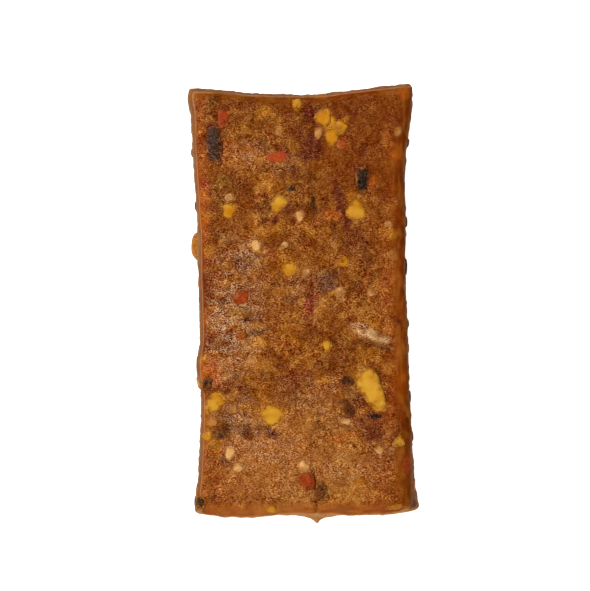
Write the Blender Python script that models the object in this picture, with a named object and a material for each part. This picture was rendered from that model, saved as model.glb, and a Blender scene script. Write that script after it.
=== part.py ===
"""A pressed savoury protein bar: one chewy slab with sweetcorn, red pepper, black bean and soya crisps in it.

The bar lies flat on its base.  X runs across it, Y along it and +Z up, and the origin is under the middle
of its outline, on the surface it lies on.  Units are metres; sizes are written in millimetres times MM.
"""

import bisect
import math
import random

import bmesh
import bpy
from mathutils import Matrix, Vector, noise
from mathutils.bvhtree import BVHTree

MM = 0.001

# The plain block that the bar was pressed as.
HALF_WIDTH = 22.0 * MM
HALF_LENGTH = 44.0 * MM
THICKNESS = 13.0 * MM

# How far in from each side the rounded top rim starts, and how deep the top and the base edges are rounded.
RIM_LEFT = 1.9 * MM
RIM_RIGHT = 2.9 * MM
RIM_BACK = 1.5 * MM
RIM_FRONT = 2.4 * MM
TOP_ROUND = 2.0 * MM
BASE_ROUND = 1.1 * MM

# How square the four corners are, seen from above: 2 is a round corner, and more is squarer.
CORNER_SQUARE = 5

# The outline that the block was squeezed to, as (place along the side, reach) in millimetres.
LEFT_SIDE = ((-44, -22.4), (-40, -22.2), (-32, -21.6), (-20, -21.3), (-14, -22.2), (-8, -21.6),
             (4, -21.8), (18, -22.2), (30, -23.0), (38, -23.4), (42, -24.0), (44, -23.8))
RIGHT_SIDE = ((-44, 23.5), (-39, 23.6), (-31, 22.7), (-21, 21.9), (-9, 21.5), (2, 21.0),
              (18, 20.9), (28, 21.0), (34, 21.6), (41, 22.3), (44, 22.2))
BACK_END = ((-22, 44.9), (-17, 44.7), (-10, 43.9), (0, 43.6), (5, 43.9), (10, 44.5), (15, 45.0), (22, 45.7))
FRONT_END = ((-22, -43.1), (-18, -43.8), (-11, -44.2), (-4, -43.6), (8, -43.7), (16, -43.7),
             (19, -43.2), (22, -42.1))

# The walls: they tuck in above and below half height, the front one leans back, the right one leans in
# towards the front, and the corner between the two stands out at its foot.
TUCK = 0.35 * MM
FRONT_LEAN = 0.9 * MM
LEAN_FROM = 0.2
RIGHT_LEAN = 1.7 * MM
RIGHT_LEAN_SPREAD = 12.0 * MM
FOOT_OUT = 1.3 * MM
FOOT_SPREAD = 2.8 * MM
CROWN = 0.3 * MM

# The wrapper's back seam pressed a wandering groove along the top, as (place, depth) in millimetres, and
# drew out a small tip with a broad root at the front end.
SEAM_X = 1.9 * MM
SEAM_HALF = 0.8 * MM
SEAM_WANDER = (14.0 * MM, 1.0 * MM)
SEAM_SPREAD = 6.0 * MM
SEAM_DEPTH = ((-44, 0.20), (-38, 0.36), (-32, 0.06), (-16, 0.04), (-5, 0.06), (1, 0.30), (6, 0.06),
              (15, 0.05), (20, 0.28), (25, 0.04), (34, 0.10), (44, 0.06))
TIP_REACH = 1.2 * MM
TIP_HALF = 0.8 * MM
TIP_ROOT = 0.9 * MM
TIP_ROOT_HALF = 4.4 * MM
TIP_HEIGHT = 4.0 * MM
TIP_SPREAD = 3.0 * MM

# One fold of the wrapper left a ridge with a crease before it, near the right side: its middle, its
# direction, and its half length and half width.
FOLD_PLACE = (13.6 * MM, -6.3 * MM)
FOLD_TURN = math.radians(-24)
FOLD_HALF_LENGTH = 4.2 * MM
FOLD_HALF_WIDTH = 0.9 * MM
FOLD_HEIGHT = 0.55 * MM

# Pressed food is never flat: broad lumps and smaller dimples, each as (size, depth), fading out at the
# base and shallower on the walls.
LUMPS = (12.0 * MM, 0.42 * MM)
DIMPLES = (4.2 * MM, 0.26 * MM)
BASE_FADE = 1.6 * MM
WALL_SHARE = 0.5

STEP = 1.8 * MM
ROUND_CUT = math.tan(math.radians(22.5))

# The large pieces on the top face: kind, (x, y), (length, width), turn in degrees, in millimetres.
TOP_PIECES = (
    ("corn", (13.8, -17.1), (9.2, 4.6), 115),
    ("corn", (-6.6, -22.3), (4.5, 4.1), -40),
    ("corn", (-18.3, -19.8), (4.6, 3.0), 50),
    ("corn", (10.5, 19.4), (3.7, 3.4), 30),
    ("corn", (4.2, 38.3), (3.5, 3.0), 120),
    ("corn", (5.6, 34.6), (3.4, 2.4), 90),
    ("corn", (7.4, 36.3), (2.9, 2.3), 70),
    ("corn", (-5.3, 20.9), (3.4, 2.6), 55),
    ("corn", (-15.4, 19.4), (2.7, 2.4), 80),
    ("corn", (-3.0, 7.4), (2.6, 2.3), 88),
    ("corn", (7.7, 9.0), (2.7, 1.9), 10),
    ("corn", (-1.4, 40.9), (2.6, 1.7), 90),
    ("corn", (4.7, -8.2), (2.0, 1.4), 95),
    ("corn", (-19.9, -26.6), (2.0, 1.8), 0),
    ("corn", (-18.3, -28.5), (2.6, 2.1), 20),
    ("pepper", (-16.6, 38.4), (3.5, 2.2), 80),
    ("pepper", (-5.5, 30.5), (4.1, 2.2), 5),
    ("pepper", (-13.0, 1.6), (3.4, 2.4), 15),
    ("pepper", (0.5, -36.0), (3.4, 2.9), 100),
    ("pepper", (21.0, -32.6), (4.0, 2.0), 88),
    ("bean", (-18.5, 33.1), (8.3, 3.2), -84),
    ("bean", (11.8, 25.8), (5.6, 2.8), 88),
    ("bean", (-17.1, -25.0), (3.8, 3.2), -60),
    ("bean", (9.0, -15.8), (3.2, 2.5), 80),
    ("bean", (8.7, -20.7), (4.0, 2.5), -45),
    ("bean", (3.5, -37.8), (3.8, 2.5), -80),
    ("crisp", (-9.9, 12.5), (2.6, 1.6), -85),
    ("crisp", (-1.0, 18.3), (2.0, 1.6), 80),
    ("crisp", (0.3, 6.8), (2.2, 1.6), 80),
    ("crisp", (2.9, 35.3), (2.1, 1.5), 70),
    ("crisp", (-18.7, -23.8), (2.0, 1.8), 0),
    ("crisp", (-15.2, -30.1), (2.7, 1.7), 80),
    ("crisp", (-0.1, -33.0), (2.6, 2.1), 60),
    ("crisp", (15.3, -29.4), (2.0, 1.6), -20),
    ("crisp", (13.8, 3.1), (2.2, 1.9), -70),
)

# Pieces that stand out of the side walls and show in the outline: kind, side, (y, z), (length, width), turn.
SIDE_PIECES = (
    ("bean", 1, (33.6, 8.6), (2.0, 1.5), 20),
    ("bean", 1, (17.4, 8.2), (2.4, 1.6), 75),
    ("bean", 1, (7.8, 8.0), (3.4, 1.8), 88),
    ("bean", 1, (-3.6, 8.8), (2.2, 1.8), 50),
    ("crisp", 1, (-8.8, 7.0), (2.4, 1.7), 70),
    ("bean", 1, (-18.6, 7.6), (2.6, 1.7), 95),
    ("pepper", 1, (-27.0, 6.0), (2.8, 1.9), 60),
    ("bean", -1, (31.6, 8.2), (2.0, 1.5), 80),
    ("bean", -1, (20.6, 8.4), (2.2, 1.6), 60),
    ("crisp", -1, (-16.0, 8.0), (3.0, 2.0), 85),
    ("bean", -1, (-40.6, 6.4), (2.8, 2.2), 80),
)

# The kernel that stands out of the left side: its middle, and its reach in X, Y and Z.
SIDE_KERNEL_PLACE = (-21.3 * MM, 12.3 * MM, 6.2 * MM)
SIDE_KERNEL_REACH = (2.1 * MM, 3.2 * MM, 2.9 * MM)

# Small pieces that fleck the walls and the rest of the top, drawn from one seeded sequence.
SEED = 41
WALL_FLECKS = 38
TOP_FLECKS = 18
FLECK_KINDS = ("corn", "crisp", "bean", "crisp", "pepper")
FLECK_LENGTH = (1.5 * MM, 2.8 * MM)
FLECK_WIDTH = 0.75
FLECK_REACH = 0.9
CLEAR_OF_EDGE = 3.0 * MM
CLEARANCE = 0.55

# A piece is a blocky ball: how square it is, how deep for its width, how much one end is wider, how far it
# stands out of the skin or of a side wall, and how uneven it is.
SQUARE = 3.0
PIECE_DEPTH = 0.62
TAPER = 0.2
PROUD = {"corn": 0.32 * MM, "pepper": 0.24 * MM, "bean": 0.28 * MM, "crisp": 0.30 * MM}
SIDE_PROUD = 0.42 * MM
ROUGH = {"corn": 0.05, "pepper": 0.10, "bean": 0.08, "crisp": 0.12}

DOUGH_COLOUR = (0.262, 0.078, 0.013, 1.0)
DOUGH_ROUGHNESS = 0.45


def smooth_through(stations, at):
    """The height at one place on the smooth curve through (place, height) stations."""
    places = [place for place, _ in stations]
    at = min(max(at, places[0]), places[-1])
    i = min(bisect.bisect_right(places, at) - 1, len(stations) - 2)
    (x0, y0), (x1, y1) = stations[i], stations[i + 1]
    before, after = stations[max(i - 1, 0)], stations[min(i + 2, len(stations) - 1)]
    slope0 = (y1 - before[1]) / (x1 - before[0]) * (x1 - x0)
    slope1 = (after[1] - y0) / (after[0] - x0) * (x1 - x0)
    t = (at - x0) / (x1 - x0)
    bend0, bend1 = t * (1 - t) ** 2 * slope0, t * t * (t - 1) * slope1
    return y0 + (y1 - y0) * t * t * (3 - 2 * t) + bend0 + bend1


def bell(distance, half_width):
    """1 on a line and fading to nothing beside it."""
    return math.exp(-((distance / half_width) ** 2))


def score_lines(low, high, low_round, high_round):
    """Where the block is scored along one axis: even steps, and closer ones where an edge gets rounded."""
    flat_low, flat_high = low + low_round, high - high_round
    count = max(1, round((flat_high - flat_low) / STEP))
    lines = [flat_low + (flat_high - flat_low) * i / count for i in range(count + 1)]
    return [flat_low - low_round * ROUND_CUT, *lines, flat_high + high_round * ROUND_CUT]


def scored_block():
    """The plain block, cut along every score line, so that its skin is a grid that can be shaped."""
    mesh = bmesh.new()
    bmesh.ops.create_cube(mesh, size=1.0)
    bmesh.ops.scale(mesh, vec=(2 * HALF_WIDTH, 2 * HALF_LENGTH, THICKNESS), verts=mesh.verts)
    bmesh.ops.translate(mesh, vec=(0, 0, THICKNESS / 2), verts=mesh.verts)
    across = score_lines(-HALF_WIDTH, HALF_WIDTH, RIM_LEFT, RIM_RIGHT)
    seam = [SEAM_X - SEAM_HALF, SEAM_X, SEAM_X + SEAM_HALF]
    across = [x for x in across if abs(x - SEAM_X) > 1.4 * SEAM_HALF] + seam
    along = score_lines(-HALF_LENGTH, HALF_LENGTH, RIM_FRONT, RIM_BACK)
    up = score_lines(0, THICKNESS, BASE_ROUND, TOP_ROUND)
    for axis, lines in ((Vector((1, 0, 0)), across), (Vector((0, 1, 0)), along), (Vector((0, 0, 1)), up)):
        for line in lines:
            everything = [*mesh.verts, *mesh.edges, *mesh.faces]
            bmesh.ops.bisect_plane(mesh, geom=everything, plane_co=axis * line, plane_no=axis)
    return mesh


def rounded(point):
    """(place, outward direction) of a point of the block's skin once its edges are rounded."""
    rim_x = RIM_LEFT if point.x < 0 else RIM_RIGHT
    rim_y = RIM_FRONT if point.y < 0 else RIM_BACK
    rim_z = BASE_ROUND if point.z < THICKNESS / 2 else TOP_ROUND
    reach = Vector((rim_x, rim_y, rim_z))
    core = Vector((
        min(max(point.x, -HALF_WIDTH + RIM_LEFT), HALF_WIDTH - RIM_RIGHT),
        min(max(point.y, -HALF_LENGTH + RIM_FRONT), HALF_LENGTH - RIM_BACK),
        min(max(point.z, BASE_ROUND), THICKNESS - TOP_ROUND),
    ))
    way = Vector([(p - c) / r for p, c, r in zip(point, core, reach)])
    plan = max(1e-9, (abs(way.x) ** CORNER_SQUARE + abs(way.y) ** CORNER_SQUARE) ** (1 / CORNER_SQUARE))
    way /= math.hypot(plan, way.z)
    place = core + way * reach
    lean_x, lean_y = ((abs(w) / plan) ** (CORNER_SQUARE - 2) for w in way.xy)
    outward = Vector((way.x * lean_x / rim_x, way.y * lean_y / rim_y, way.z / rim_z)).normalized()
    return place, outward


def seam_wander(y):
    """How far the seam has strayed sideways at a place along the bar."""
    size, reach = SEAM_WANDER
    return reach * noise.noise(Vector((0.5, y / size, 0.5)))


def squeezed(point):
    """Where a point of the rounded block ends up on the real outline, with its leaning, tucked-in walls."""
    across = 0.5 + 0.5 * point.x / HALF_WIDTH
    along = 0.5 + 0.5 * point.y / HALF_LENGTH
    height = point.z / THICKNESS
    tuck = TUCK * (2 * height - 1) ** 2
    left = smooth_through(LEFT_SIDE, point.y / MM) * MM + tuck
    right = smooth_through(RIGHT_SIDE, point.y / MM) * MM - tuck
    right -= RIGHT_LEAN * height * bell(point.y + HALF_LENGTH, RIGHT_LEAN_SPREAD)
    back = smooth_through(BACK_END, point.x / MM) * MM - tuck
    front = smooth_through(FRONT_END, point.x / MM) * MM + tuck
    front += FRONT_LEAN * max(0.0, height - LEAN_FROM)
    beside = abs(point.x - SEAM_X)
    tip = TIP_REACH * math.exp(-beside / TIP_HALF) + TIP_ROOT * bell(beside, TIP_ROOT_HALF)
    front -= tip * bell(point.z - TIP_HEIGHT, TIP_SPREAD)
    corner = Vector((point.x - HALF_WIDTH, point.y + HALF_LENGTH)).length
    foot = FOOT_OUT * bell(corner, FOOT_SPREAD) * (1 - height)
    stray = seam_wander(point.y) * bell(beside, SEAM_SPREAD)
    crown = CROWN * height * (1 - (2 * across - 1) ** 2)
    return Vector((
        left + (right - left) * across + foot + stray,
        front + (back - front) * along - 0.7 * foot,
        point.z + crown,
    ))


def top_marks(x, y):
    """What the wrapper pressed into the top: the groove of its seam, and the ridge and crease of a fold."""
    groove = smooth_through(SEAM_DEPTH, y / MM) * MM * bell(x - SEAM_X - seam_wander(y), SEAM_HALF)
    along = Matrix.Rotation(-FOLD_TURN, 2) @ Vector((x - FOLD_PLACE[0], y - FOLD_PLACE[1]))
    ridge = bell(along.y, FOLD_HALF_WIDTH)
    crease = bell(along.y + 2.1 * FOLD_HALF_WIDTH, FOLD_HALF_WIDTH)
    return FOLD_HEIGHT * bell(along.x, FOLD_HALF_LENGTH) * (ridge - crease) - groove


def relief(point, outward):
    """How far the skin stands out of, or into, the squeezed block at a point."""
    unevenness = sum(depth * noise.noise(point / size) for size, depth in (LUMPS, DIMPLES))
    facing_up = max(0.0, outward.z)
    fade = min(1.0, point.z / BASE_FADE) * (WALL_SHARE + (1 - WALL_SHARE) * facing_up)
    return fade * unevenness + facing_up * top_marks(point.x, point.y)


def slab():
    """The bar without its pieces, as a closed mesh whose base is one flat face."""
    mesh = scored_block()
    for vertex in mesh.verts:
        on_base = vertex.co.z < 0.001 * MM
        place, outward = rounded(vertex.co)
        flat = on_base and place.z < 0.001 * MM
        place = squeezed(place)
        vertex.co = place if flat else place + outward * relief(place, outward)
    base = [face for face in mesh.faces if max(v.co.z for v in face.verts) < 0.001 * MM]
    bmesh.ops.dissolve_faces(mesh, faces=base, use_verts=True)
    bmesh.ops.recalc_face_normals(mesh, faces=mesh.faces)
    return mesh


def chunk(size, rough, detail, draw):
    """A closed chunk of food: a blocky ball of a size, with each corner pushed in or out a little."""
    mesh = bmesh.new()
    bmesh.ops.create_icosphere(mesh, subdivisions=detail, radius=1.0)
    for vertex in mesh.verts:
        square = sum(abs(c) ** SQUARE for c in vertex.co) ** (1 / SQUARE)
        vertex.co *= 0.5 / square * (1 + draw.uniform(-rough, rough))
        vertex.co.y *= 1 + 2 * TAPER * vertex.co.x
    bmesh.ops.scale(mesh, vec=size, verts=mesh.verts)
    return mesh


def seat(mesh, place, outward, turn):
    """Moves a piece's mesh to a place on the skin, its depth along the outward direction."""
    lie = Vector((0, 0, 1)).rotation_difference(outward).to_matrix().to_4x4()
    bmesh.ops.transform(mesh, matrix=Matrix.Translation(place) @ lie @ Matrix.Rotation(turn, 4, "Z"),
                        verts=mesh.verts)


def add_object(name, mesh, collection):
    data = bpy.data.meshes.new(name)
    mesh.to_mesh(data)
    mesh.free()
    made = bpy.data.objects.new(name, data)
    collection.objects.link(made)
    return made


def add_piece(kind, hit, outward, length, width, turn, proud, detail, pieces, draw):
    """Sets one piece into the skin at a hit point, so that what shows has the length and the width."""
    depth = PIECE_DEPTH * width + proud
    sunk = 1 - 2 * proud / depth
    shown = (1 - sunk ** SQUARE) ** (1 / SQUARE)
    mesh = chunk((length / shown, width / shown, depth), ROUGH[kind], detail, draw)
    seat(mesh, hit + outward * (proud - depth / 2), outward, turn)
    add_object(f"piece_{kind}_{len(pieces.objects)}", mesh, pieces)


def add_top_pieces(skin, pieces, draw):
    """The large pieces of the top, each dropped on to the skin below its place."""
    for kind, (x, y), (length, width), turn in TOP_PIECES:
        hit, outward, *_ = skin.ray_cast(Vector((x * MM, y * MM, 2 * THICKNESS)), Vector((0, 0, -1)))
        detail = 2 if length >= 2.5 else 1
        add_piece(kind, hit, outward, length * MM, width * MM, math.radians(turn), PROUD[kind], detail,
                  pieces, draw)


def add_side_pieces(skin, pieces, draw):
    """The pieces that stand out of the side walls."""
    for kind, side, (y, z), (length, width), turn in SIDE_PIECES:
        start = Vector((side * 2 * HALF_WIDTH, y * MM, z * MM))
        hit, outward, *_ = skin.ray_cast(start, Vector((-side, 0, 0)))
        add_piece(kind, hit, outward, length * MM, width * MM, math.radians(turn), SIDE_PROUD, 1,
                  pieces, draw)


def add_side_kernel(pieces, draw):
    """The kernel that bulges out of the left side below the rim."""
    mesh = chunk([2 * reach for reach in SIDE_KERNEL_REACH], ROUGH["corn"], 2, draw)
    bmesh.ops.translate(mesh, vec=SIDE_KERNEL_PLACE, verts=mesh.verts)
    add_object("piece_side_kernel", mesh, pieces)


def fleck_places(draw):
    """Each small piece's kind, place on the plain block, way in, length and turn, clear of the others."""
    taken = [(Vector((x * MM, y * MM, THICKNESS)), length * MM) for _, (x, y), (length, _), _ in TOP_PIECES]
    for _, side, (y, z), (length, _), _ in SIDE_PIECES:
        taken.append((Vector((side * HALF_WIDTH, y * MM, z * MM)), length * MM))
    taken.append((Vector((-HALF_WIDTH, *SIDE_KERNEL_PLACE[1:])), 2 * SIDE_KERNEL_REACH[1]))
    taken.append((Vector((SEAM_X, -HALF_LENGTH, TIP_HEIGHT)), 2 * TIP_ROOT_HALF))
    for i in range(WALL_FLECKS + TOP_FLECKS):
        side = 1 if i % 2 else -1
        across = draw.uniform(-FLECK_REACH, FLECK_REACH) * HALF_WIDTH
        along = draw.uniform(-FLECK_REACH, FLECK_REACH) * HALF_LENGTH
        up = draw.uniform(CLEAR_OF_EDGE, THICKNESS - CLEAR_OF_EDGE)
        kind = draw.choice(FLECK_KINDS)
        length = draw.uniform(*FLECK_LENGTH)
        turn = draw.uniform(0, math.tau)
        if i >= WALL_FLECKS:
            place, way = Vector((across, along, THICKNESS)), Vector((0, 0, -1))
        elif i % 3:
            place, way = Vector((side * HALF_WIDTH, along, up)), Vector((-side, 0, 0))
        else:
            place, way = Vector((across, side * HALF_LENGTH, up)), Vector((0, -side, 0))
        if all((place - other).length > CLEARANCE * (length + size) for other, size in taken):
            taken.append((place, length))
            yield kind, place, way, length, turn


def add_flecks(skin, pieces, draw):
    """The small pieces of the walls and the top, each dropped on to the skin from outside."""
    for kind, place, way, length, turn in fleck_places(random.Random(SEED)):
        hit, outward, *_ = skin.ray_cast(place - way * THICKNESS, way)
        add_piece(kind, hit, outward, length, FLECK_WIDTH * length, turn, PROUD[kind], 1, pieces, draw)


def fuse(bar, pieces):
    """Joins every piece to the slab by one Boolean union, applies it and clears the pieces away."""
    union = bar.modifiers.new("set pieces in", "BOOLEAN")
    union.operation = "UNION"
    union.operand_type = "COLLECTION"
    union.collection = pieces
    union.solver = "EXACT"
    graph = bpy.context.evaluated_depsgraph_get()
    fused = bpy.data.meshes.new_from_object(bar.evaluated_get(graph))
    bar.modifiers.clear()
    bar.data = fused
    for piece in list(pieces.objects):
        bpy.data.objects.remove(piece)
    bpy.data.collections.remove(pieces)


def stand_on_origin(bar):
    """Puts the origin under the middle of the bar's outline."""
    points = [vertex.co for vertex in bar.data.vertices]
    middle_x = (min(p.x for p in points) + max(p.x for p in points)) / 2
    middle_y = (min(p.y for p in points) + max(p.y for p in points)) / 2
    bar.data.transform(Matrix.Translation((-middle_x, -middle_y, 0)))


def dough():
    material = bpy.data.materials.new("bar dough")
    material.use_nodes = True
    shader = material.node_tree.nodes["Principled BSDF"]
    shader.inputs["Base Color"].default_value = DOUGH_COLOUR
    shader.inputs["Roughness"].default_value = DOUGH_ROUGHNESS
    shader.inputs["Metallic"].default_value = 0.0
    return material


def main():
    for old in list(bpy.data.objects):
        bpy.data.objects.remove(old)
    scene = bpy.context.scene.collection
    draw = random.Random(SEED)
    core = slab()
    skin = BVHTree.FromBMesh(core)
    bar = add_object("bar", core, scene)
    pieces = bpy.data.collections.new("pieces")
    scene.children.link(pieces)
    add_top_pieces(skin, pieces, draw)
    add_side_pieces(skin, pieces, draw)
    add_side_kernel(pieces, draw)
    add_flecks(skin, pieces, draw)
    fuse(bar, pieces)
    stand_on_origin(bar)
    bar.data.materials.clear()
    bar.data.materials.append(dough())
    bar.data.shade_smooth()
    bar.data.set_sharp_from_angle(angle=math.radians(50))


main()
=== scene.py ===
# %% [markdown]
# # A savoury protein bar
# A stiff, sticky dough of pea protein, syrup and fat, with sweetcorn, red pepper, black bean and puffed soya
# folded in, is pressed into a slab, cut and wrapped while it is still tacky. The result is one block with
# soft edges. Its skin is finely wrinkled by the wrapper's film, and the pieces lie flush in it, half under a
# smear of dough.
#
# The measured bar is loaded first. It holds the true size and place. A finer dough is built to stand for it,
# and the pieces are set into that.

import bisect
import math
import random

import bmesh
import bpy
import numpy as np
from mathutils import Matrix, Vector, noise
from mathutils.bvhtree import BVHTree


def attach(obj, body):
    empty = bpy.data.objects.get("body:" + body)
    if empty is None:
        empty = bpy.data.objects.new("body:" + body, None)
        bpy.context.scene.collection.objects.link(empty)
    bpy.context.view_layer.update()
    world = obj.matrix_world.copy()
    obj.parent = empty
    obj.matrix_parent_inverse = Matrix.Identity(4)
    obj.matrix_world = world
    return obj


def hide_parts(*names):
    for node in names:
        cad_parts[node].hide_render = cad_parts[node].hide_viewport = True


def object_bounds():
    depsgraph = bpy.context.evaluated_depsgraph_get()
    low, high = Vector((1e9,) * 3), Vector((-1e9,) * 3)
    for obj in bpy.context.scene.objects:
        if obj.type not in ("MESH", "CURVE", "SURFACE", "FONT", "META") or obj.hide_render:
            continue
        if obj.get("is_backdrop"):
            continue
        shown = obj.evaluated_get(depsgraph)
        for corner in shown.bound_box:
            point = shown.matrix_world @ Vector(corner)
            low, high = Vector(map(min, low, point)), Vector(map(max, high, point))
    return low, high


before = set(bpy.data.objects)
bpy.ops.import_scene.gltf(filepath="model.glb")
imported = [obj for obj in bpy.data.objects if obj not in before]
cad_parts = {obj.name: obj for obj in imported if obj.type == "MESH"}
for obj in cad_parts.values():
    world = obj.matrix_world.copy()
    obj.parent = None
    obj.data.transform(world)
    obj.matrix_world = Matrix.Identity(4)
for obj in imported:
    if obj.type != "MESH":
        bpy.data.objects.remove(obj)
measured_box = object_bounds()
MM = 0.001

# %% [markdown]
# ## The block before it was squeezed
# The bar started as a plain rounded block, and the wrapper squeezed it to its real outline. Modelled in the
# same two steps, it takes a few sizes for the block, and short lists of how far each side ended up from the
# middle. A smooth curve runs through each list, so no side has corners.

# %% Sizes of the plain block
HALF_WIDTH = 22.0 * MM
HALF_LENGTH = 44.0 * MM
THICKNESS = 13.0 * MM
RIM_LEFT = 1.9 * MM
RIM_RIGHT = 2.9 * MM
RIM_BACK = 1.5 * MM
RIM_FRONT = 2.4 * MM
TOP_ROUND = 2.0 * MM
BASE_ROUND = 1.1 * MM
CORNER_SQUARE = 5

# %% The squeezed outline, as (place along the side, reach) in millimetres
LEFT_SIDE = ((-44, -22.4), (-40, -22.2), (-32, -21.6), (-20, -21.3), (-14, -22.2), (-8, -21.6),
             (4, -21.8), (18, -22.2), (30, -23.0), (38, -23.4), (42, -24.0), (44, -23.8))
RIGHT_SIDE = ((-44, 23.5), (-39, 23.6), (-31, 22.7), (-21, 21.9), (-9, 21.5), (2, 21.0),
              (18, 20.9), (28, 21.0), (34, 21.6), (41, 22.3), (44, 22.2))
BACK_END = ((-22, 44.9), (-17, 44.7), (-10, 43.9), (0, 43.6), (5, 43.9), (10, 44.5), (15, 45.0), (22, 45.7))
FRONT_END = ((-22, -43.1), (-18, -43.8), (-11, -44.2), (-4, -43.6), (8, -43.7), (16, -43.7),
             (19, -43.2), (22, -42.1))


def smooth_through(stations, at):
    """The height at one place on the smooth curve through (place, height) stations."""
    places = [place for place, _ in stations]
    at = min(max(at, places[0]), places[-1])
    i = min(bisect.bisect_right(places, at) - 1, len(stations) - 2)
    (x0, y0), (x1, y1) = stations[i], stations[i + 1]
    before, after = stations[max(i - 1, 0)], stations[min(i + 2, len(stations) - 1)]
    slope0 = (y1 - before[1]) / (x1 - before[0]) * (x1 - x0)
    slope1 = (after[1] - y0) / (after[0] - x0) * (x1 - x0)
    t = (at - x0) / (x1 - x0)
    bend0, bend1 = t * (1 - t) ** 2 * slope0, t * t * (t - 1) * slope1
    return y0 + (y1 - y0) * t * t * (3 - 2 * t) + bend0 + bend1


print("waist, mm:", round(smooth_through(RIGHT_SIDE, 10) - smooth_through(LEFT_SIDE, 10), 1))

# %% [markdown]
# ## A lattice over the skin
# The dough needs an even, fine mesh, because its lumps, dips and creases are real shape. A box is scored
# into a lattice with one line at the start of each rounded edge. Each lattice point is then carried to the
# rounded block, and from there to the squeezed one.

# %% Score the box into a lattice
LATTICE_STEP = 0.34 * MM


def lattice_lines(low, high, low_round, high_round):
    """Places of the lattice's lines along one axis, with one where each rounding starts."""
    cuts = (low, low + low_round, high - high_round, high)
    lines = [low]
    for start, end in zip(cuts, cuts[1:]):
        count = max(1, round((end - start) / LATTICE_STEP))
        lines += [start + (end - start) * i / count for i in range(1, count + 1)]
    return lines


def lattice_box(lines):
    """Points and four-sided faces of a box's skin, for the lattice lines along its three axes."""
    index, points, faces = {}, [], []
    for axis in range(3):
        a, b = (axis + 1) % 3, (axis + 2) % 3
        last = len(lines[axis]) - 1
        for end in (0, last):
            for u in range(len(lines[a]) - 1):
                for v in range(len(lines[b]) - 1):
                    face = []
                    for du, dv in ((0, 0), (1, 0), (1, 1), (0, 1)):
                        cell = [0, 0, 0]
                        cell[axis], cell[a], cell[b] = end, u + du, v + dv
                        key = tuple(cell)
                        if key not in index:
                            index[key] = len(points)
                            points.append([line[c] for line, c in zip(lines, key)])
                        face.append(index[key])
                    faces.append(face if end else face[::-1])
    return np.array(points), faces


block, dough_faces = lattice_box((
    lattice_lines(-HALF_WIDTH, HALF_WIDTH, RIM_LEFT, RIM_RIGHT),
    lattice_lines(-HALF_LENGTH, HALF_LENGTH, RIM_FRONT, RIM_BACK),
    lattice_lines(0, THICKNESS, BASE_ROUND, TOP_ROUND),
))
print("lattice:", len(block), "points,", len(dough_faces), "faces")

# %% [markdown]
# ## Round it, then squeeze it
# A point of the box is pulled towards the rounded core by the shortest way, which also gives the direction
# in which the skin faces there. The squeeze then moves it so that the sides meet the outline. The walls
# tuck in a little at the top and at the base, the front wall leans back, and one front corner was left
# standing out at its foot. The wrapper's seam drew out a small tip at the front.

# %% Round the block's edges
TUCK = 0.35 * MM
FRONT_LEAN = 0.9 * MM
LEAN_FROM = 0.2
RIGHT_LEAN = 1.7 * MM
RIGHT_LEAN_SPREAD = 12.0 * MM
FOOT_OUT = 1.3 * MM
FOOT_SPREAD = 2.8 * MM
FOOT_FORWARD = 0.7
CROWN = 0.3 * MM


def rounded(x, y, z):
    """(place, outward direction) of a point of the box once the block's edges are rounded."""
    reach = (
        RIM_LEFT if x < 0 else RIM_RIGHT,
        RIM_FRONT if y < 0 else RIM_BACK,
        BASE_ROUND if z < THICKNESS / 2 else TOP_ROUND,
    )
    core = (
        min(max(x, -HALF_WIDTH + RIM_LEFT), HALF_WIDTH - RIM_RIGHT),
        min(max(y, -HALF_LENGTH + RIM_FRONT), HALF_LENGTH - RIM_BACK),
        min(max(z, BASE_ROUND), THICKNESS - TOP_ROUND),
    )
    way = Vector([(p - c) / r for p, c, r in zip((x, y, z), core, reach)])
    plan = max(1e-9, (abs(way.x) ** CORNER_SQUARE + abs(way.y) ** CORNER_SQUARE) ** (1 / CORNER_SQUARE))
    way /= math.hypot(plan, way.z)
    place = Vector(core) + way * Vector(reach)
    lean_x, lean_y = ((abs(w) / plan) ** (CORNER_SQUARE - 2) for w in way.xy)
    outward = Vector((way.x * lean_x / reach[0], way.y * lean_y / reach[1], way.z / reach[2]))
    return place, outward.normalized()


# %% Squeeze it to its outline
SEAM_X = 1.9 * MM
SEAM_WANDER = (14.0 * MM, 1.0 * MM)
SEAM_SPREAD = 6.0 * MM
TIP_REACH = 1.2 * MM
TIP_HALF = 0.8 * MM
TIP_ROOT = 0.9 * MM
TIP_ROOT_HALF = 4.4 * MM
TIP_HEIGHT = 4.0 * MM
TIP_SPREAD = 3.0 * MM


def bell(distance, half_width):
    """1 on a line and fading to nothing beside it."""
    return math.exp(-((distance / half_width) ** 2))


def seam_wander(y):
    """How far the seam has strayed sideways at a place along the bar."""
    size, reach = SEAM_WANDER
    return reach * noise.noise(Vector((0.5, y / size, 0.5)))


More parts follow.
